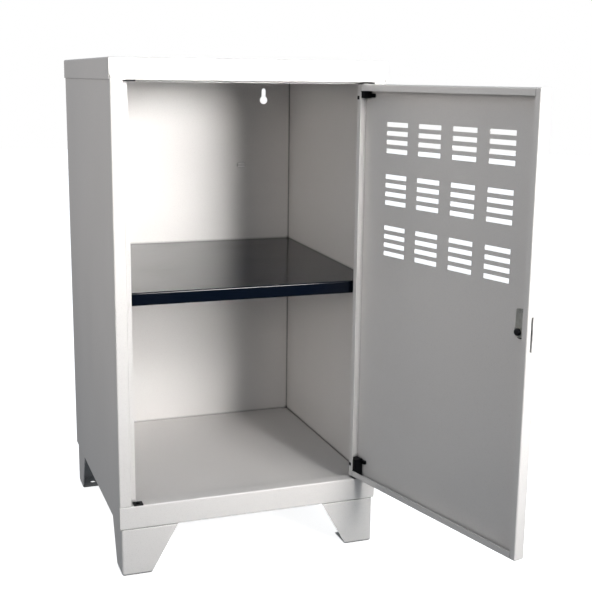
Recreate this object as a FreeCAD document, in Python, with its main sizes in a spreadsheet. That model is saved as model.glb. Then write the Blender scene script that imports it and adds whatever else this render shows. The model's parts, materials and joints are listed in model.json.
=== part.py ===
# Single-door sheet-steel locker cabinet on four folded feet.
#
# Millimetres. X runs to the right along the front, Y to the back (the front faces -Y), Z up.
# The origin is at floor level in the middle of the four floor-bolt holes.
# The door is modelled where it rests: fully open against the front jamb of its hinge side.
import FreeCAD, Part
import Sketcher
import math
import os

from FreeCAD import Placement, Rotation, Vector

AXES = "xyz"
PLANES = {"z": "XY_Plane", "y": "XZ_Plane", "x": "YZ_Plane"}

doc = FreeCAD.newDocument("LockerCabinet")
sheet = doc.addObject("Spreadsheet::Sheet", "Sizes")


# ------------------------------------------------------------------ sizes and expressions
class Size:
    """A number together with the spreadsheet expression that gives it."""

    def __init__(self, value, text):
        self.value = float(value)
        self.text = text

    @staticmethod
    def of(number):
        return number if isinstance(number, Size) else Size(number, repr(float(number)))

    def _join(self, sign, other, value, swapped=False):
        other = Size.of(other)
        pair = (other.text, self.text) if swapped else (self.text, other.text)
        return Size(value, "(%s %s %s)" % (pair[0], sign, pair[1]))

    def __add__(self, other):
        return self._join("+", other, self.value + Size.of(other).value)

    def __radd__(self, other):
        return self._join("+", other, self.value + other, swapped=True)

    def __sub__(self, other):
        return self._join("-", other, self.value - Size.of(other).value)

    def __rsub__(self, other):
        return self._join("-", other, other - self.value, swapped=True)

    def __mul__(self, other):
        return self._join("*", other, self.value * Size.of(other).value)

    def __rmul__(self, other):
        return self._join("*", other, self.value * other, swapped=True)

    def __truediv__(self, other):
        return self._join("/", other, self.value / Size.of(other).value)

    def __neg__(self):
        return Size(-self.value, "(-1 * %s)" % self.text)


size_names = []


def size(alias, value):
    """Write one driving dimension into the sheet and give it back as a Size."""
    size_names.append(alias)
    row = len(size_names)
    sheet.set("A%d" % row, alias)
    sheet.set("B%d" % row, str(value))
    sheet.setAlias("B%d" % row, alias)
    return Size(value, "Sizes.%s" % alias)


# cabinet
cabinet_width = size("cabinet_width", 389)
cabinet_depth = size("cabinet_depth", 398)
cabinet_height = size("cabinet_height", 720)
metal = size("metal", 1.0)              # thickness of every body sheet
bend = size("bend", 1.2)                # inside radius of every fold
fit_gap = size("fit_gap", 0.15)         # between a panel's edge and the sheet beside it
base_height = size("base_height", 70.5)  # underside of the shell

# door opening
jamb_width = size("jamb_width", 17.0)
stop_recess = size("stop_recess", 19.4)  # front face to the stop lips
stop_lip = size("stop_lip", 9.5)
strike_slot_width = size("strike_slot_width", 5.0)
lid_skirt = size("lid_skirt", 28.4)
lid_corner = size("lid_corner", 10.5)    # radius of the apron's lower corners
lid_slit = size("lid_slit", 0.5)         # between the apron and a side skirt
seam = size("seam", 0.3)                 # visible joint between jamb and bottom rail
header_drop = size("header_drop", 0.8)   # upper rail below the lid's apron
header_lip = size("header_lip", 2.3)
rail_top = size("rail_top", 104.7)
rail_ledge = size("rail_ledge", 20)
rail_corner = size("rail_corner", 4.5)
rail_flange = size("rail_flange", 25)
rail_step = size("rail_step", 24.7)
floor_top = size("floor_top", 95)
floor_flange = size("floor_flange", 19)
floor_notch_width = size("floor_notch_width", 11.3)
floor_notch_depth = size("floor_notch_depth", 4)
rear_flange = size("rear_flange", 14)
rear_rail_depth = size("rear_rail_depth", 22)

# back panel
keyhole_offset = size("keyhole_offset", 145.2)   # from the middle of the cabinet
keyhole_drop = size("keyhole_drop", 62.6)       # below the lid's top
keyhole_radius = size("keyhole_radius", 6.8)
keyhole_slot_radius = size("keyhole_slot_radius", 3.7)
keyhole_rise = size("keyhole_rise", 16.3)
bridge_offset = size("bridge_offset", 104.5)
bridge_width = size("bridge_width", 13.3)
bridge_strip = size("bridge_strip", 6.2)
bridge_window = size("bridge_window", 6.8)
bridge_depth = size("bridge_depth", 3.6)
upper_bridge_drop = size("upper_bridge_drop", 170.7)
rivet_offset = size("rivet_offset", 7)
rivet_radius = size("rivet_radius", 2.0)
rivet_head_radius = size("rivet_head_radius", 3.6)
rivet_head = size("rivet_head", 1.2)
rivet_margin = size("rivet_margin", 60)     # from the shell's lower and upper ends

# shelf
shelf_height = size("shelf_height", 414.5)   # top of its back edge
shelf_tilt = size("shelf_tilt", 1.4)         # degrees, falling to the front
shelf_front = size("shelf_front", 18.6)
shelf_return = size("shelf_return", 12)
shelf_side = size("shelf_side", 15)
shelf_gap = size("shelf_gap", 0.5)
shelf_seat = size("shelf_seat", 0.25)        # between the shelf and the bridges it rests on
shelf_hook_width = size("shelf_hook_width", 9)
bracket_setback = size("bracket_setback", 2)   # behind the shelf's front return
bracket_length = size("bracket_length", 36)
bracket_leg = size("bracket_leg", 14)
bracket_metal = size("bracket_metal", 1.5)

# feet
foot_inset = size("foot_inset", 2.2)
foot_metal = size("foot_metal", 1.5)
foot_toe_width = size("foot_toe_width", 42.2)
foot_toe_depth = size("foot_toe_depth", 40)
foot_top_width = size("foot_top_width", 82.5)
foot_top_depth = size("foot_top_depth", 70)
foot_flange = size("foot_flange", 22)
foot_bend = size("foot_bend", 1.6)
floor_bolt_radius = size("floor_bolt_radius", 4.5)
floor_bolt_inset = size("floor_bolt_inset", 20)
foot_screw_radius = size("foot_screw_radius", 3)
thread_gap = size("thread_gap", 0.05)
foot_screw_gap = size("foot_screw_gap", 0.3)
foot_screw_x = size("foot_screw_x", 45)
foot_screw_y = size("foot_screw_y", 13)
foot_screw_head = size("foot_screw_head", 4)
foot_nut = size("foot_nut", 5)
foot_hex_radius = size("foot_hex_radius", 5.77)

# door and hinges
door_gap = size("door_gap", 2)
door_thickness = size("door_thickness", 16.2)
door_lip = size("door_lip", 9.5)
door_open = size("door_open", 103.5)         # degrees, where it rests
hinge_inset = size("hinge_inset", 8.1)       # hinge axis from the door's edge
hinge_depth = size("hinge_depth", 7.0)       # hinge axis behind the door's outer face
lip_seam = size("lip_seam", 0.5)
vent_width = size("vent_width", 45.4)
vent_height = size("vent_height", 6.4)
vent_pitch = size("vent_pitch", 12.1)
vent_group_pitch = size("vent_group_pitch", 72)
vent_column_pitch = size("vent_column_pitch", 67.9)
vent_top = size("vent_top", 51)
vent_columns, vent_groups, vent_slots = 4, 3, 4
pin_radius = size("pin_radius", 3)
pin_gap = size("pin_gap", 0.06)
pin_reach = size("pin_reach", 9)
pin_collar_radius = size("pin_collar_radius", 4.6)
pin_collar = size("pin_collar", 0.5)
pin_grip = size("pin_grip", 14)               # length inside the hinge block
bush_plate = size("bush_plate", 13.4)
bush_plate_height = size("bush_plate_height", 1.2)
bush_plate_corner = size("bush_plate_corner", 1)
bush_collar_radius = size("bush_collar_radius", 5.5)
bush_collar = size("bush_collar", 9)
block_width = size("block_width", 14)
lower_block_height = size("lower_block_height", 26.8)
upper_block_height = size("upper_block_height", 18.5)
block_finger = size("block_finger", 8.8)
block_finger_height = size("block_finger_height", 5)
block_finger_depth = size("block_finger_depth", 3)
barb_side = size("barb_side", 4.8)
barb_offset = size("barb_offset", 3.8)
barb_height = size("barb_height", 19)

# lock
lock_inset = size("lock_inset", 20.8)         # from the door's free edge
lock_flange_radius = size("lock_flange_radius", 11.5)
lock_flange_height = size("lock_flange_height", 2)
lock_barrel_radius = size("lock_barrel_radius", 9)
lock_barrel_gap = size("lock_barrel_gap", 0.15)
lock_nut_radius = size("lock_nut_radius", 12.2)
lock_nut_height = size("lock_nut_height", 3)
plug_radius = size("plug_radius", 6.15)
plug_gap = size("plug_gap", 0.05)
plug_neck = size("plug_neck", 6.4)            # side of the square that carries the cam
keyway_width = size("keyway_width", 1.6)
keyway_height = size("keyway_height", 8)
keyway_depth = size("keyway_depth", 5)
cam_plane = size("cam_plane", 9.5)            # door's outer face to the middle of the cam
cam_thickness = size("cam_thickness", 2)
cam_width = size("cam_width", 11.5)
cam_reach = size("cam_reach", 28.7)
cam_heel = size("cam_heel", 7)
cam_corner = size("cam_corner", 3)
cam_slot_width = size("cam_slot_width", 3.4)
cam_slot_half = size("cam_slot_half", 21.7)
cam_screw_radius = size("cam_screw_radius", 2)
cam_screw_head_radius = size("cam_screw_head_radius", 4.7)
cam_screw_head = size("cam_screw_head", 3.8)
cam_screw_length = size("cam_screw_length", 6)
cam_washer_radius = size("cam_washer_radius", 5.8)
cam_washer_height = size("cam_washer_height", 0.6)
doc.recompute()

# places that several pieces share
half_width = cabinet_width / 2
half_depth = cabinet_depth / 2
front = -half_depth
inner_side = half_width - metal - fit_gap      # edge of a panel that lies between the sides
lid_under = cabinet_height - metal
apron_bottom = cabinet_height - lid_skirt
header_bottom = apron_bottom - header_drop
stop_face = front + stop_recess
jamb_inner = half_width - jamb_width
back_face = half_depth - 2 * metal             # inner face of the back panel
floor_under = floor_top - metal
outer_bend = bend + metal
hinge_x = jamb_inner - door_gap - hinge_inset
hinge_y = front + hinge_depth
door_width = 2 * jamb_inner - 2 * door_gap
door_bottom = rail_top + door_gap
door_top = header_bottom - door_gap
lock_height = (door_bottom + door_top) / 2
bush_hole = bush_collar_radius + fit_gap
foot_x = half_width - foot_inset               # outer faces of the feet
foot_y = half_depth - foot_inset
foot_screw_at = (foot_x - foot_screw_x, foot_y - foot_screw_y)
foot_screw_hole = foot_screw_radius + foot_screw_gap
rivet_x = half_width - rivet_offset
keyhole_height = cabinet_height - keyhole_drop
rivet_heights = (base_height + rivet_margin, apron_bottom - rivet_margin)
bridge_tops = (shelf_height - metal - shelf_seat, cabinet_height - upper_bridge_drop)
shelf_run = back_face - shelf_gap - (stop_face + metal + shelf_gap)

# the shut door, measured from its hinge axis
outer_face = -hinge_depth
inner_face = door_thickness - hinge_depth
hinge_edge = hinge_inset
lock_at = (hinge_edge - door_width + lock_inset, lock_height)
cam_near = outer_face + cam_plane - cam_thickness / 2
cam_far = cam_near + cam_thickness
barrel_end = cam_near - fit_gap


# ------------------------------------------------------------------ building helpers
def bind(feature, prop, value):
    """Tie a property to the sheet, or set it when it is a plain number."""
    feature.setExpression(prop, Size.of(value).text)


def ordered(pair):
    low, high = Size.of(pair[0]), Size.of(pair[1])
    return (low, high) if low.value <= high.value else (high, low)


def expect_change(before, feature, more):
    """Stop when an added feature adds nothing or a cut removes nothing."""
    change = feature.Shape.Volume - before
    if (change <= 0) if more else (change >= 0):
        raise RuntimeError("%s changes nothing" % feature.Name)


pieces = []


class Piece:
    """One separate physical piece: a PartDesign body, built feature by feature."""

    def __init__(self, label):
        self.body = doc.addObject("PartDesign::Body", label)
        self.body.Label = label
        pieces.append(self.body)

    def _new(self, kind, normal, offset, sizes):
        feature = self.body.newObject("PartDesign::" + kind, self.body.Name + "_" + kind)
        self._attach(feature, normal, offset)
        for name, value in sizes.items():
            bind(feature, name, value)
        return self._finish(feature, not kind.startswith("Subtractive"))

    def _attach(self, feature, normal, offset):
        role = PLANES[normal]
        plane = [item for item in self.body.Origin.OriginFeatures if item.Role == role][0]
        feature.AttachmentSupport = (plane, [""])
        feature.MapMode = "FlatFace"
        for axis, value in zip(AXES, offset):
            bind(feature, "AttachmentOffset.Base." + axis, value)

    def _finish(self, feature, more):
        tip_volume = self.volume
        doc.recompute()
        expect_change(tip_volume, feature, more)
        return feature

    @property
    def volume(self):
        shape = self.body.Shape
        return 0.0 if shape.isNull() else shape.Volume

    def box(self, xs, ys, zs, cut=False):
        (x0, x1), (y0, y1), (z0, z1) = ordered(xs), ordered(ys), ordered(zs)
        kind = "SubtractiveBox" if cut else "AdditiveBox"
        return self._new(kind, "z", (x0, y0, z0),
                         {"Length": x1 - x0, "Width": y1 - y0, "Height": z1 - z0})

    def _along(self, normal, centre, low, high):
        """Offset of a round primitive that runs from low to high along an axis."""
        start = -high if normal == "y" else low
        return (Size.of(centre[0]), Size.of(centre[1]), Size.of(start))

    def cylinder(self, normal, centre, radius, span, cut=False):
        low, high = ordered(span)
        kind = "SubtractiveCylinder" if cut else "AdditiveCylinder"
        return self._new(kind, normal, self._along(normal, centre, low, high),
                         {"Radius": radius, "Height": high - low})

    def hexagon(self, normal, centre, radius, span):
        low, high = ordered(span)
        return self._new("AdditivePrism", normal, self._along(normal, centre, low, high),
                         {"Circumradius": radius, "Height": high - low})

    def sketch(self, normal, level):
        drawing = self.body.newObject("Sketcher::SketchObject", self.body.Name + "_sketch")
        self._attach(drawing, normal, (Size.of(0), Size.of(0), -level if normal == "y" else level))
        return drawing

    def extrude(self, normal, span, draw, cut=False):
        """Pad or pocket whatever draw puts in a sketch, over a span of the normal axis."""
        low, high = ordered(span)
        drawing = self.sketch(normal, high if cut != (normal == "y") else low)
        draw(drawing)
        kind = "Pocket" if cut else "Pad"
        feature = self.body.newObject("PartDesign::" + kind, self.body.Name + "_" + kind)
        feature.Profile = (drawing, [""])
        bind(feature, "Length", high - low)
        return self._finish(feature, not cut)

    def polygon(self, normal, span, points, cut=False):
        return self.extrude(normal, span, lambda drawing: draw_polygon(drawing, points), cut)

    def round_edges(self, radius, chosen):
        """Fillet every edge of the tip for which chosen(low corner, high corner) is true."""
        tip = self.body.Tip
        names = []
        for number, edge in enumerate(tip.Shape.Edges, 1):
            box = edge.BoundBox
            if chosen((box.XMin, box.YMin, box.ZMin), (box.XMax, box.YMax, box.ZMax)):
                names.append("Edge%d" % number)
        if not names:
            raise RuntimeError("%s has no edge to round" % self.body.Name)
        feature = self.body.newObject("PartDesign::Fillet", self.body.Name + "_Fillet")
        feature.Base = (tip, names)
        bind(feature, "Radius", radius)
        doc.recompute()
        return feature

    def folded(self, normal, path, span, side):
        """A folded sheet: path is its outer face in section, side=1 puts metal on its left."""
        steps = [direction(a, b) for a, b in zip(path, path[1:])]
        normals = [(-side * v, side * u) for u, v in steps]
        inner, corners = [], []
        for index, (u, v) in enumerate(path):
            near = normals[max(index - 1, 0):index + 1]
            shift = [sum(n[k] for n in near) for k in (0, 1)]
            inner.append((moved(u, shift[0]), moved(v, shift[1])))
        for index in range(1, len(path) - 1):
            (a, b), (c, d) = steps[index - 1], steps[index]
            outside = (a * d - b * c) * side > 0
            corners.append((path[index], outside))
            corners.append((inner[index], not outside))
        self.polygon(normal, span, path + inner[::-1])
        for outside, radius in ((True, outer_bend), (False, bend)):
            places = [point for point, kind in corners if kind == outside]
            self.round_edges(radius, runs_along(normal, places))


def direction(start, end):
    """Unit step of one straight run of a folded section."""
    u, v = (Size.of(end[k]).value - Size.of(start[k]).value for k in (0, 1))
    length = math.hypot(u, v)
    return round(u / length), round(v / length)


def moved(value, steps):
    return value + steps * metal if steps else value


TOLERANCE = 1e-4    # for comparing two places
START_TURN = 1      # any turn but none, so that a Placement keeps its axis until the sheet's angle is bound


def close(a, b):
    return abs(a - b) < TOLERANCE


def flat_at(low, high, axis, place):
    """Whether an edge, given by its box, lies all at one place along an axis."""
    return close(low[axis], place.value) and close(high[axis], place.value)


def upright(low, high):
    return not close(low[2], high[2])


def runs_along(normal, places):
    """Chooses edges that run along one axis through any of the given section points."""
    along = AXES.index(normal)
    across = [k for k in range(3) if k != along]

    def chosen(low, high):
        if close(low[along], high[along]):
            return False
        return any(all(close(low[k], Size.of(p).value) and close(high[k], Size.of(p).value)
                       for k, p in zip(across, place)) for place in places)
    return chosen


def pin_coordinate(drawing, geometry, corner, axis, value):
    """Hold one coordinate of a sketch point, bound to the sheet."""
    value = Size.of(value)
    if value.value == 0:
        drawing.addConstraint(Sketcher.Constraint("PointOnObject", geometry, corner, (-2, -1)[axis]))
        return
    kind = ("DistanceX", "DistanceY")[axis]
    held = Sketcher.Constraint(kind, -1, 1, geometry, corner, value.value)
    drawing.setExpression("Constraints[%d]" % drawing.addConstraint(held), value.text)


def pin_point(drawing, geometry, corner, point):
    for axis in (0, 1):
        pin_coordinate(drawing, geometry, corner, axis, point[axis])


def draw_polygon(drawing, points):
    corners = [Vector(Size.of(u).value, Size.of(v).value, 0) for u, v in points]
    first = len(drawing.Geometry)
    count = len(corners)
    for index, corner in enumerate(corners):
        drawing.addGeometry(Part.LineSegment(corner, corners[(index + 1) % count]))
    for index in range(count):
        following = first + (index + 1) % count
        drawing.addConstraint(Sketcher.Constraint("Coincident", first + index, 2, following, 1))
    for index, point in enumerate(points):
        pin_point(drawing, first + index, 1, point)


def draw_ring(drawing, ends, radius):
    """A slot with round ends around the run between two points on one sketch axis."""
    (u0, v0), (u1, v1) = [(Size.of(u), Size.of(v)) for u, v in ends]
    turn = 0 if close(v0.value, v1.value) else math.pi / 2
    across = Vector(-math.sin(turn), math.cos(turn), 0) * radius.value
    start = Vector(u0.value, v0.value, 0)
    end = Vector(u1.value, v1.value, 0)
    first = len(drawing.Geometry)
    for centre, angle in ((start, turn + math.pi / 2), (end, turn - math.pi / 2)):
        circle = Part.Circle(centre, Vector(0, 0, 1), radius.value)
        drawing.addGeometry(Part.ArcOfCircle(circle, angle, angle + math.pi))
    drawing.addGeometry(Part.LineSegment(start - across, end - across))
    drawing.addGeometry(Part.LineSegment(end + across, start + across))
    for arc, arc_end, line, line_end in ((0, 2, 2, 1), (1, 1, 2, 2), (1, 2, 3, 1), (0, 1, 3, 2)):
        drawing.addConstraint(Sketcher.Constraint(
            "Tangent", first + arc, arc_end, first + line, line_end))
    index = drawing.addConstraint(Sketcher.Constraint("Radius", first, radius.value))
    drawing.setExpression("Constraints[%d]" % index, radius.text)
    pin_point(drawing, first, 3, (u0, v0))
    run = 0 if turn == 0 else 1
    pin_coordinate(drawing, first + 1, 3, run, (u1, v1)[run])


def draw_corner(drawing, corner, radius, inward):
    """What a rounded corner leaves out: inward gives the two directions of the sheet."""
    (u, v), (a, b) = corner, inward
    centre = (u + a * radius, v + b * radius)
    points = [(u, v), (centre[0], v), (u, centre[1])]
    places = [Vector(Size.of(p).value, Size.of(q).value, 0) for p, q in points]
    middle = Vector(Size.of(centre[0]).value, Size.of(centre[1]).value, 0)
    circle = Part.Circle(middle, Vector(0, 0, 1), radius.value)
    start = {(1, 1): 2, (-1, 1): 3, (-1, -1): 0, (1, -1): 1}[(a, b)] * math.pi / 2
    drawing.addGeometry(Part.LineSegment(places[0], places[1]))
    drawing.addGeometry(Part.LineSegment(places[0], places[2]))
    drawing.addGeometry(Part.ArcOfCircle(circle, start, start + math.pi / 2))
    upright_first = a == b
    along_u, along_v = (1, 2) if not upright_first else (2, 1)
    drawing.addConstraint(Sketcher.Constraint("Coincident", 0, 1, 1, 1))
    drawing.addConstraint(Sketcher.Constraint("Coincident", 2, along_u, 0, 2))
    drawing.addConstraint(Sketcher.Constraint("Coincident", 2, along_v, 1, 2))
    pin_point(drawing, 0, 1, points[0])
    pin_point(drawing, 0, 2, points[1])
    pin_point(drawing, 1, 2, points[2])
    index = drawing.addConstraint(Sketcher.Constraint("Radius", 2, radius.value))
    drawing.setExpression("Constraints[%d]" % index, radius.text)


# ------------------------------------------------------------------ shell
PAST = 1.0          # how far a cut runs past the face it opens on


def side_panel(label, hand):
    """Side, front jamb and stop lip folded from one sheet; hand is 1 on the right."""
    panel = Piece(label)
    path = [(hand * (half_width - rear_flange), half_depth),
            (hand * half_width, half_depth),
            (hand * half_width, front),
            (hand * jamb_inner, front),
            (hand * jamb_inner, stop_face),
            (hand * (jamb_inner - stop_lip), stop_face)]
    panel.folded("z", path, (base_height, lid_under), -hand)
    # the bottom rail's face covers the side's front edge, and its ledge meets the jamb
    over_rail = rail_top + seam
    behind_rail = front + metal + fit_gap
    panel.box((hand * (half_width + PAST), hand * (half_width - metal)),
              (front - PAST, behind_rail), (base_height - PAST, over_rail), cut=True)
    panel.box((hand * (half_width - metal), hand * (jamb_inner - stop_lip - PAST)),
              (front - PAST, stop_face + metal + PAST), (base_height - PAST, over_rail), cut=True)
    # the stop lip ends below the upper rail
    panel.box((hand * (jamb_inner - stop_lip - PAST), hand * jamb_inner),
              (stop_face - PAST, stop_face + metal + PAST),
              (header_bottom - header_lip - fit_gap, lid_under + PAST), cut=True)
    strike = front + cam_plane
    panel.box((hand * (jamb_inner - PAST), hand * (jamb_inner + metal + PAST)),
              (strike - strike_slot_width / 2, strike + strike_slot_width / 2),
              (lock_height - cam_slot_half, lock_height + cam_slot_half), cut=True)
    for height in rivet_heights:
        panel.cylinder("y", (hand * rivet_x, height), rivet_radius,
                       (half_depth - metal - PAST, half_depth + PAST), cut=True)


def top_front_rail():
    """Channel under the lid between the jambs, with the upper hinge holes."""
    rail = Piece("top_front_rail")
    end = jamb_inner - fit_gap
    path = [(front, lid_under - fit_gap), (front, header_bottom), (stop_face, header_bottom),
            (stop_face, header_bottom - header_lip)]
    rail.folded("x", path, (-end, end), 1)
    for hand in (-1, 1):
        rail.cylinder("z", (hand * hinge_x, hinge_y), bush_hole,
                      (header_bottom - PAST, header_bottom + metal + PAST), cut=True)


def bottom_front_rail():
    """Face across the whole front, ledge under the door and flange over the feet."""
    rail = Piece("bottom_front_rail")
    back = front + rail_ledge
    path = [(front + rail_flange, base_height), (front, base_height), (front, rail_top),
            (back, rail_top), (back, rail_top - rail_step)]
    rail.folded("x", path, (-half_width, half_width), -1)
    for hand in (-1, 1):
        rail.box((hand * inner_side, hand * (half_width + PAST)),
                 (front + metal, front + rail_flange + PAST),
                 (base_height - PAST, rail_top + PAST), cut=True)
        rail.extrude("y", (front - PAST, front + metal + PAST),
                     lambda drawing: draw_corner(drawing, (hand * half_width, base_height),
                                                 rail_corner, (-hand, 1)), cut=True)
        rail.cylinder("z", (hand * hinge_x, hinge_y), bush_hole,
                      (rail_top - metal - PAST, rail_top + PAST), cut=True)
        rail.cylinder("z", (hand * foot_screw_at[0], -foot_screw_at[1]), foot_screw_hole,
                      (base_height - PAST, base_height + metal + PAST), cut=True)


def rear_base_rail():
    """Channel that closes the base at the back and carries the rear feet."""
    rail = Piece("rear_base_rail")
    fore = back_face - rear_rail_depth
    path = [(fore, base_height), (back_face, base_height), (back_face, floor_under),
            (fore, floor_under)]
    rail.folded("x", path, (-inner_side, inner_side), 1)
    for hand in (-1, 1):
        rail.cylinder("z", (hand * foot_screw_at[0], foot_screw_at[1]), foot_screw_hole,
                      (base_height - PAST, base_height + metal + PAST), cut=True)


def floor_panel():
    """Floor tray with its side and front edges folded down."""
    floor = Piece("floor_panel")
    fore = front + rail_ledge + fit_gap
    floor.folded("y", [(-inner_side, floor_top - floor_flange), (-inner_side, floor_top),
                       (inner_side, floor_top), (inner_side, floor_top - floor_flange)],
                 (fore, back_face - fit_gap), -1)
    # the side flanges stop short of the rear rail, and the corners are notched
    for hand in (-1, 1):
        outer = (hand * (inner_side + PAST), hand * (inner_side - outer_bend))
        floor.box(outer, (back_face - rear_rail_depth - fit_gap, back_face + PAST),
                  (floor_top - floor_flange - PAST, floor_under), cut=True)
        floor.box((hand * (inner_side + PAST), hand * (inner_side - floor_notch_width)),
                  (back_face - fit_gap - floor_notch_depth, back_face + PAST),
                  (floor_under - PAST, floor_top + PAST), cut=True)


def top_lid():
    """Shallow cap over the shell: rounded top edges, skirts and a front apron."""
    lid = Piece("top_lid")
    across, fore = half_width + fit_gap + metal, half_depth + fit_gap + metal
    lid.box((-across, across), (-fore, fore), (apron_bottom, cabinet_height))
    lid.round_edges(outer_bend, lambda low, high: close(low[2], cabinet_height.value))
    lid.box((metal - across, across - metal), (metal - fore, fore - metal),
            (apron_bottom - PAST, lid_under), cut=True)
    for hand in (-1, 1):
        lid.box((hand * (across - metal), hand * (across + PAST)),
                (metal - fore, metal - fore + lid_slit),
                (apron_bottom - PAST, cabinet_height - outer_bend), cut=True)
        lid.extrude("y", (-fore - PAST, metal - fore),
                    lambda drawing: draw_corner(drawing, (hand * across, apron_bottom),
                                                lid_corner, (-hand, 1)), cut=True)


def back_panel():
    """Flat back with hanging keyholes and four lanced bridges."""
    panel = Piece("back_panel")
    through = (back_face - PAST, back_face + metal + PAST)
    edge = half_width - outer_bend - fit_gap
    panel.box((-edge, edge), (back_face, back_face + metal),
              (base_height, lid_under - fit_gap))
    for hand in (-1, 1):
        column = hand * keyhole_offset
        panel.cylinder("y", (column, keyhole_height), keyhole_radius, through, cut=True)
        slot = [(column, keyhole_height), (column, keyhole_height + keyhole_rise)]
        panel.extrude("y", through,
                      lambda drawing: draw_ring(drawing, slot, keyhole_slot_radius), cut=True)
        for height in rivet_heights:
            panel.cylinder("y", (hand * rivet_x, height), rivet_radius, through, cut=True)
        for top in bridge_tops:
            add_bridge(panel, hand * bridge_offset, top)


def add_bridge(panel, middle, top):
    """A strip pressed forward above its window in the back."""
    left, right = middle - bridge_width / 2, middle + bridge_width / 2
    proud, bottom = back_face - bridge_depth, top - bridge_strip
    panel.box((left, right), (back_face - PAST, back_face + metal + PAST),
              (top - bridge_window, top), cut=True)
    panel.box((left, right), (proud, proud + metal), (bottom, top))
    for inner, outer in ((left, left + metal), (right - metal, right)):
        panel.box((inner, outer), (proud, back_face + metal), (bottom, top))


def rivet(label, x, height):
    """Flat-headed rivet that holds the back panel to a side's rear flange."""
    piece = Piece(label)
    piece.cylinder("y", (x, height), rivet_radius, (back_face, half_depth))
    piece.cylinder("y", (x, height), rivet_head_radius, (half_depth, half_depth + rivet_head))


# ------------------------------------------------------------------ shelf
def tilt_with_shelf(piece):
    """Shelf pieces are drawn level, with the shelf's rear top edge as their origin."""
    piece.body.Placement = Placement(Vector(0, 0, 0), Rotation(Vector(1, 0, 0), START_TURN))
    bind(piece.body, "Placement.Rotation.Angle", shelf_tilt)
    bind(piece.body, "Placement.Base.y", back_face - shelf_gap)
    bind(piece.body, "Placement.Base.z", shelf_height)
    doc.recompute()


def shelf():
    """Folded shelf whose back edge hooks behind the two lower bridges."""
    tray = Piece("shelf")
    edge = half_width - metal - shelf_gap
    fore = -shelf_run
    path = [(0, -shelf_side), (0, 0), (fore, 0), (fore, -shelf_front),
            (fore + shelf_return, -shelf_front)]
    tray.folded("x", path, (-edge, edge), 1)
    for hand in (-1, 1):
        tray.box((hand * (edge - metal), hand * edge), (fore + outer_bend, -outer_bend),
                 (-shelf_side, -metal / 2))
        # two slots free the hook that drops behind the bridge
        inner, outer = shelf_hook_width / 2, bridge_width / 2 + PAST
        for side in (-1, 1):
            middle = hand * bridge_offset
            tray.box((middle + side * inner, middle + side * outer),
                     (-outer_bend, PAST), (-shelf_side - PAST, -metal), cut=True)
    tilt_with_shelf(tray)


def shelf_bracket(label, hand):
    """Angle on the side panel under the front end of the shelf's side flange."""
    angle = Piece(label)
    wall = half_width - metal
    top = -shelf_side - fit_gap
    fore = -shelf_run + shelf_return + bracket_setback
    span = (fore, fore + bracket_length)
    angle.box((hand * wall, hand * (wall - bracket_leg)), span, (top - bracket_metal, top))
    angle.box((hand * wall, hand * (wall - bracket_metal)), span, (top - bracket_leg, top))
    tilt_with_shelf(angle)


# ------------------------------------------------------------------ feet
def foot(label, hand, end):
    """Folded corner foot: two tapering plates, a sole and a top flange."""
    piece = Piece(label)

    def x(inward):
        return hand * (foot_x - inward)

    def y(inward):
        return end * (foot_y - inward)

    piece.box((x(0), x(foot_top_width)), (y(0), y(foot_top_depth)), (0, base_height))

    def outside(low, high):
        at_x, at_y = flat_at(low, high, 0, x(0)), flat_at(low, high, 1, y(0))
        return (at_x and at_y) if upright(low, high) else (at_x or at_y)

    piece.round_edges(foot_bend + foot_metal, outside)
    piece.box((x(foot_metal), x(foot_top_width + PAST)), (y(foot_metal), y(foot_top_depth + PAST)),
              (foot_metal, base_height - foot_metal), cut=True)

    def inside(low, high):
        at_x, at_y = flat_at(low, high, 0, x(foot_metal)), flat_at(low, high, 1, y(foot_metal))
        if upright(low, high):
            return at_x and at_y
        level = close(low[2], foot_metal.value) or close(low[2], (base_height - foot_metal).value)
        return (at_x or at_y) and level

    piece.round_edges(foot_bend, inside)
    piece.box((x(foot_flange), x(foot_top_width + PAST)), (y(foot_flange), y(foot_top_depth + PAST)),
              (base_height / 2, base_height + PAST), cut=True)
    far = foot_top_depth + PAST
    piece.polygon("y", (y(-PAST), y(far)),
                  [(x(foot_toe_width), -PAST), (x(foot_top_width + PAST), -PAST),
                   (x(foot_top_width + PAST), base_height), (x(foot_top_width), base_height),
                   (x(foot_toe_width), 0)], cut=True)
    piece.polygon("x", (x(-PAST), x(foot_top_width + PAST)),
                  [(y(foot_toe_depth), -PAST), (y(far), -PAST),
                   (y(far), base_height), (y(foot_top_depth), base_height),
                   (y(foot_toe_depth), 0)], cut=True)
    piece.cylinder("z", (x(floor_bolt_inset), y(floor_bolt_inset)), floor_bolt_radius,
                   (-PAST, foot_metal + PAST), cut=True)
    piece.cylinder("z", (x(foot_screw_x), y(foot_screw_y)), foot_screw_hole,
                   (base_height - foot_metal - PAST, base_height + PAST), cut=True)


def foot_screw(label, hand, end):
    """Hexagon screw up through the foot's flange and the rail."""
    piece = Piece(label)
    at = (hand * foot_screw_at[0], end * foot_screw_at[1])
    under = base_height - foot_metal
    piece.hexagon("z", at, foot_hex_radius, (under - foot_screw_head, under))
    piece.cylinder("z", at, foot_screw_radius, (under, base_height + metal + foot_nut + PAST))


def foot_nut_piece(label, hand, end):
    piece = Piece(label)
    at = (hand * foot_screw_at[0], end * foot_screw_at[1])
    seat = base_height + metal
    piece.hexagon("z", at, foot_hex_radius, (seat, seat + foot_nut))
    piece.cylinder("z", at, foot_screw_radius + thread_gap, (seat - PAST, seat + foot_nut + PAST),
                   cut=True)


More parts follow.
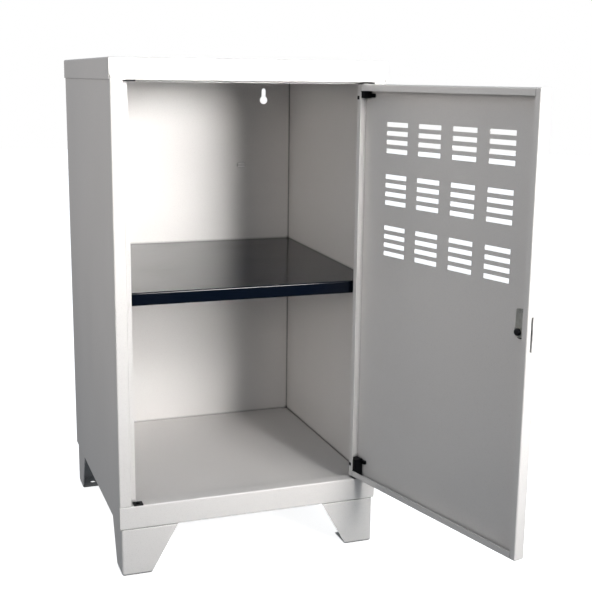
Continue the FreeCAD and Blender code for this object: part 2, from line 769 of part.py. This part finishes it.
# ------------------------------------------------------------------ hinges
def hinge_bush(label, hand, face, outward):
    """Plastic bush in a rail: square plate on the door's side, collar through the rail."""
    bush = Piece(label)
    at = (hand * hinge_x, hinge_y)
    half = bush_plate / 2
    bush.box((at[0] - half, at[0] + half), (at[1] - half, at[1] + half),
             (face, face + outward * bush_plate_height))
    bush.round_edges(bush_plate_corner, upright)
    bush.cylinder("z", at, bush_collar_radius, (face, face - outward * bush_collar))
    bush.cylinder("z", at, pin_radius + pin_gap,
                  (face + outward * (bush_plate_height + PAST),
                   face - outward * (bush_collar + PAST)), cut=True)


def on_door(piece):
    """Door pieces are drawn with the door shut and the hinge axis as their origin."""
    piece.body.Placement = Placement(Vector(0, 0, 0), Rotation(Vector(0, 0, 1), START_TURN))
    bind(piece.body, "Placement.Rotation.Angle", door_open)
    bind(piece.body, "Placement.Base.x", hinge_x)
    bind(piece.body, "Placement.Base.y", hinge_y)
    doc.recompute()


def hinge_pin(label, edge, rail_face, inward):
    """Steel pin fixed in the door, turning in the bush; inward points into the door."""
    pin = Piece(label)
    pin.cylinder("z", (0, 0), pin_radius,
                 (rail_face - inward * pin_reach, edge + inward * (metal + pin_grip)))
    pin.cylinder("z", (0, 0), pin_collar_radius, (edge, edge - inward * pin_collar))
    on_door(pin)


def hinge_block(label, edge, inward, height):
    """Plastic block clipped into the door's corner, holding the pin."""
    block = Piece(label)
    start = edge + inward * metal
    near, far = outer_face + metal + fit_gap, inner_face - metal - fit_gap
    side = hinge_edge - metal - fit_gap
    reach = side - block_width
    block.box((side, reach), (near, far), (start, start + inward * height))
    block.round_edges(bend, lambda low, high: True)
    block.box((reach + bend, reach - block_finger),
              (near + fit_gap, near + fit_gap + block_finger_depth),
              (start + inward * (height - bend), start + inward * (height - bend - block_finger_height)))
    barb = edge + inward * barb_height
    middle = hinge_edge - barb_offset
    half = barb_side / 2
    block.box((middle - half, middle + half), (far - bend, inner_face),
              (barb - half, barb + half))
    block.cylinder("z", (0, 0), pin_radius + pin_gap,
                   (start - inward * PAST, start + inward * (pin_grip + PAST)), cut=True)
    on_door(block)


# ------------------------------------------------------------------ door
def door_panel():
    """Folded pan with turned-in lips, ventilation slots and the lock's holes."""
    door = Piece("door_panel")
    free_edge = hinge_edge - door_width
    door.box((free_edge, hinge_edge), (outer_face, inner_face), (door_bottom, door_top))
    door.round_edges(outer_bend, lambda low, high: True)
    hollow = ((free_edge + metal, hinge_edge - metal),
              (outer_face + metal, inner_face - metal),
              (door_bottom + metal, door_top - metal))
    door.box(*hollow, cut=True)
    door.round_edges(bend, lambda low, high: all(
        low[axis] > near.value - TOLERANCE and high[axis] < far.value + TOLERANCE
        for axis, (near, far) in enumerate(hollow)))
    door.box((free_edge + door_lip, hinge_edge - door_lip), (inner_face - metal - PAST, inner_face + PAST),
             (door_bottom + door_lip, door_top - door_lip), cut=True)
    # the upper and lower lips butt against the side lips
    for inner, outward in ((free_edge + door_lip, -1), (hinge_edge - door_lip, 1)):
        for low, high in ((door_bottom - PAST, door_bottom + door_lip + PAST),
                          (door_top - door_lip - PAST, door_top + PAST)):
            door.box((inner, inner + outward * lip_seam), (inner_face - metal - bend, inner_face + PAST),
                     (low, high), cut=True)
    door_vents(door)
    flange = outer_face + cam_plane
    door.box((free_edge - PAST, free_edge + metal + PAST),
             (flange - cam_slot_width / 2, flange + cam_slot_width / 2),
             (lock_height - cam_slot_half, lock_height + cam_slot_half), cut=True)
    door.cylinder("y", lock_at, lock_barrel_radius + lock_barrel_gap,
                  (outer_face - PAST, outer_face + metal + PAST), cut=True)
    for edge, inward in ((door_bottom, 1), (door_top, -1)):
        door.cylinder("z", (0, 0), pin_radius + pin_gap,
                      (edge - inward * PAST, edge + inward * (metal + PAST)), cut=True)
        barb = edge + inward * barb_height
        middle = hinge_edge - barb_offset
        half = barb_side / 2 + fit_gap
        door.box((middle - half, middle + half), (inner_face - metal - PAST, inner_face + PAST),
                 (barb - half, barb + half), cut=True)
    on_door(door)


def door_vents(door):
    """Groups of horizontal slots, repeated across and up the door."""
    column = hinge_edge - door_width / 2 - vent_column_pitch * (vent_columns - 1) / 2
    lowest = door_top - vent_top - vent_height - vent_group_pitch * (vent_groups - 1) \
        - vent_pitch * (vent_slots - 1)
    left, right = column - vent_width / 2, column + vent_width / 2

    def draw(drawing):
        for number in range(vent_slots):
            bottom = lowest + number * vent_pitch
            top = bottom + vent_height
            draw_polygon(drawing, [(left, bottom), (right, bottom), (right, top), (left, top)])

    slots = door.extrude("y", (outer_face - PAST, outer_face + metal + PAST), draw, cut=True)
    roles = {item.Role: item for item in door.body.Origin.OriginFeatures}
    pattern = door.body.newObject("PartDesign::LinearPattern", "door_panel_vents")
    pattern.Originals = [slots]
    pattern.Direction = (roles["X_Axis"], [""])
    pattern.Direction2 = (roles["Z_Axis"], [""])
    pattern.Occurrences = vent_columns
    pattern.Occurrences2 = vent_groups
    bind(pattern, "Length", vent_column_pitch * (vent_columns - 1))
    bind(pattern, "Length2", vent_group_pitch * (vent_groups - 1))
    door.body.Tip = pattern
    doc.recompute()
    expect_change(slots.Shape.Volume, pattern, False)


# ------------------------------------------------------------------ lock
def lock_barrel():
    barrel = Piece("lock_barrel")
    barrel.cylinder("y", lock_at, lock_flange_radius, (outer_face - lock_flange_height, outer_face))
    barrel.round_edges(lock_flange_height / 2,
                       lambda low, high: close(high[1], (outer_face - lock_flange_height).value))
    barrel.cylinder("y", lock_at, lock_barrel_radius, (outer_face, barrel_end))
    barrel.cylinder("y", lock_at, plug_radius + plug_gap,
                    (outer_face - lock_flange_height - PAST, barrel_end + PAST), cut=True)
    on_door(barrel)


def lock_nut():
    nut = Piece("lock_nut")
    seat = outer_face + metal
    nut.hexagon("y", lock_at, lock_nut_radius, (seat, seat + lock_nut_height))
    nut.cylinder("y", lock_at, lock_barrel_radius + thread_gap,
                 (seat - PAST, seat + lock_nut_height + PAST), cut=True)
    on_door(nut)


def lock_plug():
    """Key plug: keyway outside, square neck through the cam, hole for the cam's screw."""
    plug = Piece("lock_plug")
    face = outer_face - lock_flange_height
    half = plug_neck / 2
    plug.cylinder("y", lock_at, plug_radius, (face, barrel_end))
    plug.box((lock_at[0] - half, lock_at[0] + half), (barrel_end, cam_far),
             (lock_at[1] - half, lock_at[1] + half))
    plug.box((lock_at[0] - keyway_width / 2, lock_at[0] + keyway_width / 2),
             (face - PAST, face + keyway_depth),
             (lock_at[1] - keyway_height / 2, lock_at[1] + keyway_height / 2), cut=True)
    plug.cylinder("y", lock_at, cam_screw_radius + thread_gap,
                  (cam_far - cam_screw_length - PAST, cam_far + PAST), cut=True)
    on_door(plug)


def lock_cam():
    """Flat cam that stands up from the plug and turns into the jamb."""
    cam = Piece("lock_cam")
    x, z = lock_at
    half = cam_width / 2
    cam.box((x - half, x + half), (cam_near, cam_far), (z - cam_heel, z + cam_reach))
    cam.round_edges(cam_corner, lambda low, high: close(low[0], high[0]) and close(low[2], high[2]))
    hole = plug_neck / 2 + plug_gap
    cam.box((x - hole, x + hole), (cam_near - PAST, cam_far + PAST), (z - hole, z + hole), cut=True)
    on_door(cam)


def cam_washer():
    washer = Piece("cam_washer")
    washer.cylinder("y", lock_at, cam_washer_radius, (cam_far, cam_far + cam_washer_height))
    washer.cylinder("y", lock_at, cam_screw_radius + thread_gap,
                    (cam_far - PAST, cam_far + cam_washer_height + PAST), cut=True)
    on_door(washer)


def cam_screw():
    screw = Piece("cam_screw")
    seat = cam_far + cam_washer_height
    screw.cylinder("y", lock_at, cam_screw_head_radius, (seat, seat + cam_screw_head))
    screw.round_edges(cam_screw_head / 2, lambda low, high: close(low[1], (seat + cam_screw_head).value))
    screw.cylinder("y", lock_at, cam_screw_radius, (cam_far - cam_screw_length, seat))
    on_door(screw)


# ------------------------------------------------------------------ build
for hand, side in ((-1, "left"), (1, "right")):
    side_panel(side + "_side_panel", hand)
    shelf_bracket(side + "_shelf_bracket", hand)
    for end, name in ((-1, "front"), (1, "rear")):
        corner = "%s_%s" % (name, side)
        foot(corner + "_foot", hand, end)
        foot_screw(corner + "_foot_screw", hand, end)
        foot_nut_piece(corner + "_foot_nut", hand, end)
    for height, name in zip(rivet_heights, ("lower", "upper")):
        rivet("%s_%s_rivet" % (name, side), hand * rivet_x, height)
top_front_rail()
bottom_front_rail()
rear_base_rail()
floor_panel()
top_lid()
back_panel()
shelf()
door_panel()
for name, rail_face, edge, inward, height in (
        ("bottom", rail_top, door_bottom, 1, lower_block_height),
        ("top", header_bottom, door_top, -1, upper_block_height)):
    hinge_bush(name + "_hinge_bush", 1, rail_face, inward)
    hinge_bush(name + "_spare_bush", -1, rail_face, inward)
    hinge_pin(name + "_hinge_pin", edge, rail_face, inward)
    hinge_block(name + "_hinge_block", edge, inward, height)
lock_barrel()
lock_nut()
lock_plug()
lock_cam()
cam_washer()
cam_screw()

# ------------------------------------------------------------------ check and write
doc.recompute()
for item in doc.Objects:
    if "Invalid" in item.State or "Error" in item.State:
        raise RuntimeError("%s failed: %s" % (item.Label, item.State))
os.makedirs("parts", exist_ok=True)
for body in pieces:
    shape = body.Shape
    if shape.isNull() or not shape.isValid() or len(shape.Solids) != 1:
        raise RuntimeError("%s is not one valid solid" % body.Label)
    shape.exportStep("parts/%s.step" % body.Label)
    print("%-26s %10.0f mm3" % (body.Label, shape.Volume))
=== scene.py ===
"""Looks of the locker cabinet: finishes, floor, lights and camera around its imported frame."""
import json
import math

import bpy
from mathutils import Matrix, Vector


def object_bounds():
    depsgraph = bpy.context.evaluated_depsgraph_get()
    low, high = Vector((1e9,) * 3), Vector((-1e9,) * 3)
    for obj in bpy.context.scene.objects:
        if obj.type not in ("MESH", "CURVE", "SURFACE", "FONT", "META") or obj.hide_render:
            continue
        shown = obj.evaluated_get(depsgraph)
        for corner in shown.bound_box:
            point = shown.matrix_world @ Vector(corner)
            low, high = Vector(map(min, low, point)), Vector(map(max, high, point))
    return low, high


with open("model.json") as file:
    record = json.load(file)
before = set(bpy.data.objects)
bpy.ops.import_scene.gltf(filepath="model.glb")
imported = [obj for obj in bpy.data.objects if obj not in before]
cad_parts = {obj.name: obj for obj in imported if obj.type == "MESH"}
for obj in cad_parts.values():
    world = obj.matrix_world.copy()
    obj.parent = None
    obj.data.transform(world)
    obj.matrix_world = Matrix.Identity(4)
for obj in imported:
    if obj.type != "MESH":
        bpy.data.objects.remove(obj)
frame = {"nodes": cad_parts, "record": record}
cad_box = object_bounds()

MM = 0.001
OPAQUE = 1.0

# camera, in metres and degrees; its azimuth 0 looks along +Y
IMAGE_WIDTH_PX = 592
CAMERA_PLACE = Vector((-0.4473, -1.5904, 0.6965))
CAMERA_AZIMUTH = -20.18
CAMERA_TILT = 11.82
CAMERA_ROLL = 0.68
CAMERA_FOCAL_PX = 1062.93
SENSOR_WIDTH_MM = 36.0

# lights, in metres, degrees and watts: the low key lights the upper compartment and the high one
# the lower compartment, each warm; the fill stands off the left side and the bounce faces the open door
KEY_COLOUR = (1.0, 0.975, 0.95)
KEY = dict(place=(0.8, -2.7, 1.0), aim=(0.13, -0.2, 0.91), size=0.8, spread=36.0, power=5.9,
           colour=KEY_COLOUR)
HIGH = dict(place=(0.8, -2.7, 1.55), aim=(0.18, -0.2, 0.12), size=0.8, spread=31.0, power=2.55,
            colour=KEY_COLOUR)
FILL = dict(place=(-1.4, 0.35, 1.1), aim=(-0.2, 0.0, 0.55), size=0.8, spread=120.0, power=2.5,
            colour=(1.0, 0.89, 0.81))
BOUNCE = dict(place=(-1.3, -1.6, 0.8), aim=(0.15, 0.0, 0.45), size=0.5, spread=44.0, power=0.55,
              colour=(1.0, 0.93, 0.86))
SKY_STRENGTH = 0.4
SKY_COLOUR = (0.84, 0.95, 1.06)
GROUND_STRENGTH = 0.1
HORIZON = (-0.2, 0.4)      # heights on the sky's unit sphere between which it brightens
BACKDROP_STRENGTH = 1.0

# floor
FLOOR_REACH = 9.0
FLOOR_SIDES = 96
FLOOR_GLOW = 0.85
FLOOR_SHADED_GLOW = 0.05
FLOOR_SHADE_REACH = 15 * MM
FLOOR_PALE, FLOOR_GRAIN = (0.93, 0.93, 0.93), (0.915, 0.915, 0.915)

SEAM_REACH = 6 * MM
SEAM_SAMPLES = 8


# ------------------------------------------------------------------ node helpers
class Finish:
    """A material under construction: one Principled shader and the nodes that feed it."""

    def __init__(self, name, colour, **sockets):
        self.material = bpy.data.materials.new(name)
        self.material.use_nodes = True
        self.nodes = self.material.node_tree.nodes
        self.links = self.material.node_tree.links
        self.shader = self.nodes["Principled BSDF"]
        self.shader.inputs["Base Color"].default_value = (*colour, OPAQUE)
        for socket, value in sockets.items():
            self.shader.inputs[socket.replace("_", " ")].default_value = value
        self.place = self.nodes.new("ShaderNodeTexCoord").outputs["Object"]

    def stretched(self, scale):
        """Object coordinates with another scale along each axis."""
        mapping = self.nodes.new("ShaderNodeMapping")
        mapping.inputs["Scale"].default_value = scale
        self.links.new(self.place, mapping.inputs["Vector"])
        return mapping.outputs["Vector"]

    def noise(self, scale, detail=3.0, roughness=0.5, vector=None):
        noise = self.nodes.new("ShaderNodeTexNoise")
        noise.inputs["Scale"].default_value = scale
        noise.inputs["Detail"].default_value = detail
        noise.inputs["Roughness"].default_value = roughness
        self.links.new(vector or self.place, noise.inputs["Vector"])
        return noise.outputs["Fac"]

    def ranged(self, factor, low, high, start=0.3, end=0.7):
        """Stretch a 0 to 1 pattern between two values."""
        node = self.nodes.new("ShaderNodeMapRange")
        for name, value in (("From Min", start), ("From Max", end), ("To Min", low), ("To Max", high)):
            node.inputs[name].default_value = value
        self.links.new(factor, node.inputs["Value"])
        return node.outputs["Result"]

    def mixed(self, factor, first, second):
        """Mix two colours, each a tuple or another node's output, by a pattern."""
        node = self.nodes.new("ShaderNodeMix")
        node.data_type = "RGBA"
        self.links.new(factor, node.inputs["Factor"])
        for socket, value in ((node.inputs[6], first), (node.inputs[7], second)):
            if isinstance(value, tuple):
                socket.default_value = (*value, OPAQUE)
            else:
                self.links.new(value, socket)
        return node.outputs[2]

    def corners(self, reach):
        """0 deep in a corner or seam, 1 on open faces."""
        node = self.nodes.new("ShaderNodeAmbientOcclusion")
        node.inputs["Distance"].default_value = reach
        node.samples = SEAM_SAMPLES
        return node.outputs["AO"]

    def feed(self, socket, value):
        self.links.new(value, self.shader.inputs[socket])

    def bump(self, *layers):
        """Bumps one on another, each a pattern with its height in metres and its strength."""
        normal = None
        for pattern, height, strength in layers:
            node = self.nodes.new("ShaderNodeBump")
            node.inputs["Strength"].default_value = strength
            node.inputs["Distance"].default_value = height
            self.links.new(pattern, node.inputs["Height"])
            if normal:
                self.links.new(normal, node.inputs["Normal"])
            normal = node.outputs["Normal"]
        self.links.new(normal, self.shader.inputs["Normal"])


# ------------------------------------------------------------------ finishes
def powder_coat(name, colour, tint, seam_shade_and_speck, roughness, peel_strength, gloss=0.5):
    """Baked powder coat on sheet steel: orange peel, faint cloudiness, dark specks and painted shade
    darkening the seams and corners.
    """
    finish = Finish(name, colour, Metallic=0.0, IOR=1.5, Specular_IOR_Level=gloss)
    cloud = finish.ranged(finish.noise(5.0, detail=4.0), 0.0, 1.0)
    speck = finish.ranged(finish.noise(1400.0, detail=1.0), 0.0, 1.0, start=0.62, end=0.75)
    mottled = finish.mixed(cloud, colour, tint)
    # painted shade: ambient occlusion darkens the paint in seams and corners towards the dark colour
    seam_shaded = finish.mixed(finish.ranged(finish.corners(SEAM_REACH), 0.0, 1.0, start=0.3, end=0.8),
                          seam_shade_and_speck, mottled)
    specked = finish.mixed(finish.ranged(speck, 0.0, 0.25, start=0.0, end=1.0), seam_shaded, seam_shade_and_speck)
    finish.feed("Base Color", specked)
    wiped = finish.noise(9.0, detail=5.0, roughness=0.65, vector=finish.stretched((1.0, 1.0, 0.35)))
    finish.feed("Roughness", finish.ranged(wiped, roughness - 0.05, roughness + 0.07))
    finish.bump((finish.noise(420.0, detail=2.0), 0.05 * MM, peel_strength),
                (finish.noise(2200.0, detail=1.0), 0.01 * MM, peel_strength),
                (finish.noise(14.0, detail=1.0), 0.5 * MM, 0.05))
    return finish.material


def moulded_plastic(name):
    """Black injection-moulded plastic with a fine spark-eroded grain."""
    base, worn = (0.0015, 0.0018, 0.003), (0.004, 0.0045, 0.006)
    finish = Finish(name, base, Metallic=0.0, IOR=1.46, Specular_IOR_Level=0.12)
    finish.feed("Base Color", finish.mixed(finish.ranged(finish.noise(260.0), 0.0, 1.0), base, worn))
    finish.feed("Roughness", finish.ranged(finish.noise(120.0), 0.36, 0.52))
    finish.bump((finish.noise(3200.0, detail=2.0), 0.02 * MM, 0.5))
    return finish.material


def plated_steel(name, colour, stain, roughness, along):
    """Plated steel with drawing marks along one axis and faint clouding."""
    finish = Finish(name, colour, Metallic=1.0)
    marks = finish.noise(60.0, detail=6.0, roughness=0.7, vector=finish.stretched(along))
    cloud = finish.ranged(finish.noise(180.0, detail=3.0), 0.0, 1.0)
    finish.feed("Base Color", finish.mixed(cloud, colour, stain))
    finish.feed("Roughness", finish.ranged(marks, roughness - 0.08, roughness + 0.12))
    finish.bump((marks, 0.02 * MM, 0.35))
    return finish.material


def studio_floor(name):
    """Seamless pale floor, lit from below like a light table, with a barely visible paper grain."""
    finish = Finish(name, FLOOR_PALE, Roughness=0.9, Metallic=0.0)
    finish.shader.inputs["Emission Color"].default_value = (1, 1, 1, OPAQUE)
    grain = finish.ranged(finish.noise(40.0), 0.0, 1.0)
    finish.feed("Base Color", finish.mixed(grain, FLOOR_PALE, FLOOR_GRAIN))
    # painted shade: the floor's glow dims near the cabinet's feet and walls, by ambient occlusion
    open_air = finish.corners(FLOOR_SHADE_REACH)
    finish.feed("Emission Strength",
                finish.ranged(open_air, FLOOR_SHADED_GLOW, FLOOR_GLOW, start=0.1, end=0.6))
    return finish.material


# the dark colour serves both the painted shade in seams and corners and the coat's real dark specks
WHITE = dict(colour=(0.722, 0.708, 0.698), tint=(0.708, 0.692, 0.68), seam_shade_and_speck=(0.10, 0.10, 0.10))
SHELF = dict(colour=(0.0002, 0.0016, 0.0055), tint=(0.0006, 0.0025, 0.0075),
             seam_shade_and_speck=(0.0002, 0.0004, 0.001))
FINISHES = {
    "white_paint": powder_coat("white_powder_coat", **WHITE, roughness=0.38, peel_strength=0.25),
    "black_paint": powder_coat("black_powder_coat", **SHELF, roughness=0.12, peel_strength=0.06,
                               gloss=0.28),
    "black_plastic": moulded_plastic("black_plastic"),
    "zinc_steel": plated_steel("zinc_plate", (0.66, 0.66, 0.63), (0.55, 0.55, 0.5),
                               roughness=0.32, along=(1, 1, 12)),
    "lock_metal": plated_steel("lock_plate", (0.02, 0.02, 0.024), (0.014, 0.014, 0.017),
                               roughness=0.3, along=(12, 1, 1)),
    "black_steel": plated_steel("black_oxide", (0.04, 0.04, 0.045), (0.02, 0.02, 0.022),
                                roughness=0.34, along=(1, 1, 12)),
}


def dress(slots_of_nodes):
    """Give every CAD node the finish of the slot that its record names."""
    for name, piece in frame["nodes"].items():
        piece.data.materials.clear()
        piece.data.materials.append(FINISHES[slots_of_nodes[name]])


# ------------------------------------------------------------------ studio
def soft_light(name, place, aim, size, spread, power, colour):
    """Round soft box at a place, facing the point that it is aimed at."""
    lamp = bpy.data.lights.new(name, "AREA")
    lamp.shape, lamp.size, lamp.energy, lamp.spread = "DISK", size, power, math.radians(spread)
    lamp.color = colour
    holder = bpy.data.objects.new(name, lamp)
    bpy.context.scene.collection.objects.link(holder)
    holder.location = place
    holder.rotation_euler = (Vector(place) - Vector(aim)).to_track_quat("Z", "Y").to_euler()


def floor_sheet(low, high):
    """Large round sheet at the height of the feet."""
    centre = (low + high) / 2
    turns = [math.tau * i / FLOOR_SIDES for i in range(FLOOR_SIDES)]
    points = [(centre.x + FLOOR_REACH * math.cos(turn),
               centre.y + FLOOR_REACH * math.sin(turn), low.z) for turn in turns]
    mesh = bpy.data.meshes.new("studio_floor")
    mesh.from_pydata(points, [], [tuple(range(FLOOR_SIDES))])
    mesh.materials.append(studio_floor("studio_floor"))
    sheet = bpy.data.objects.new("studio_floor", mesh)
    bpy.context.scene.collection.objects.link(sheet)
    sheet.visible_diffuse = False   # its glow lights nothing and shows in no paint
    sheet.visible_glossy = False


def studio_sky():
    """Dim surround that lights from above a little more than from below, white where it is seen."""
    world = bpy.data.worlds.new("studio")
    bpy.context.scene.world = world
    world.use_nodes = True
    nodes, links = world.node_tree.nodes, world.node_tree.links
    split = nodes.new("ShaderNodeSeparateXYZ")
    links.new(nodes.new("ShaderNodeTexCoord").outputs["Generated"], split.inputs[0])
    height = nodes.new("ShaderNodeMapRange")
    for socket, value in (("From Min", HORIZON[0]), ("From Max", HORIZON[1]),
                          ("To Min", GROUND_STRENGTH), ("To Max", SKY_STRENGTH)):
        height.inputs[socket].default_value = value
    links.new(split.outputs["Z"], height.inputs["Value"])
    camera_ray = nodes.new("ShaderNodeLightPath").outputs["Is Camera Ray"]
    seen = nodes.new("ShaderNodeMix")
    links.new(camera_ray, seen.inputs["Factor"])
    links.new(height.outputs["Result"], seen.inputs["A"])
    seen.inputs["B"].default_value = BACKDROP_STRENGTH
    links.new(seen.outputs["Result"], nodes["Background"].inputs["Strength"])
    tint = nodes.new("ShaderNodeMix")
    tint.data_type = "RGBA"
    links.new(camera_ray, tint.inputs["Factor"])
    tint.inputs[6].default_value = (*SKY_COLOUR, OPAQUE)
    tint.inputs[7].default_value = (1, 1, 1, OPAQUE)
    links.new(tint.outputs[2], nodes["Background"].inputs["Color"])


def aim_camera():
    """Camera at its place, turned by azimuth, tilted down and rolled."""
    azimuth, tilt, roll = (math.radians(a) for a in (CAMERA_AZIMUTH, CAMERA_TILT, CAMERA_ROLL))
    forward = Vector((-math.sin(azimuth) * math.cos(tilt),
                      math.cos(azimuth) * math.cos(tilt), -math.sin(tilt)))
    level = Vector((math.cos(azimuth), math.sin(azimuth), 0))
    upright = level.cross(forward)
    right = level * math.cos(roll) + upright * math.sin(roll)
    up = upright * math.cos(roll) - level * math.sin(roll)
    camera = bpy.data.cameras.new("camera")
    camera.sensor_fit, camera.sensor_width = "HORIZONTAL", SENSOR_WIDTH_MM
    camera.lens = CAMERA_FOCAL_PX * SENSOR_WIDTH_MM / IMAGE_WIDTH_PX
    holder = bpy.data.objects.new("camera", camera)
    bpy.context.scene.collection.objects.link(holder)
    turned = Matrix((right, up, -forward)).transposed().to_4x4()
    holder.matrix_world = Matrix.Translation(CAMERA_PLACE) @ turned
    bpy.context.scene.camera = holder


# ------------------------------------------------------------------ scene
dress({part["node"]: part["material_slot"] for part in frame["record"]["subparts"]})
bpy.context.scene.view_settings.view_transform = "Standard"
floor_sheet(*cad_box)
studio_sky()
soft_light("key", **KEY)
soft_light("high", **HIGH)
soft_light("fill", **FILL)
soft_light("bounce", **BOUNCE)
aim_camera()
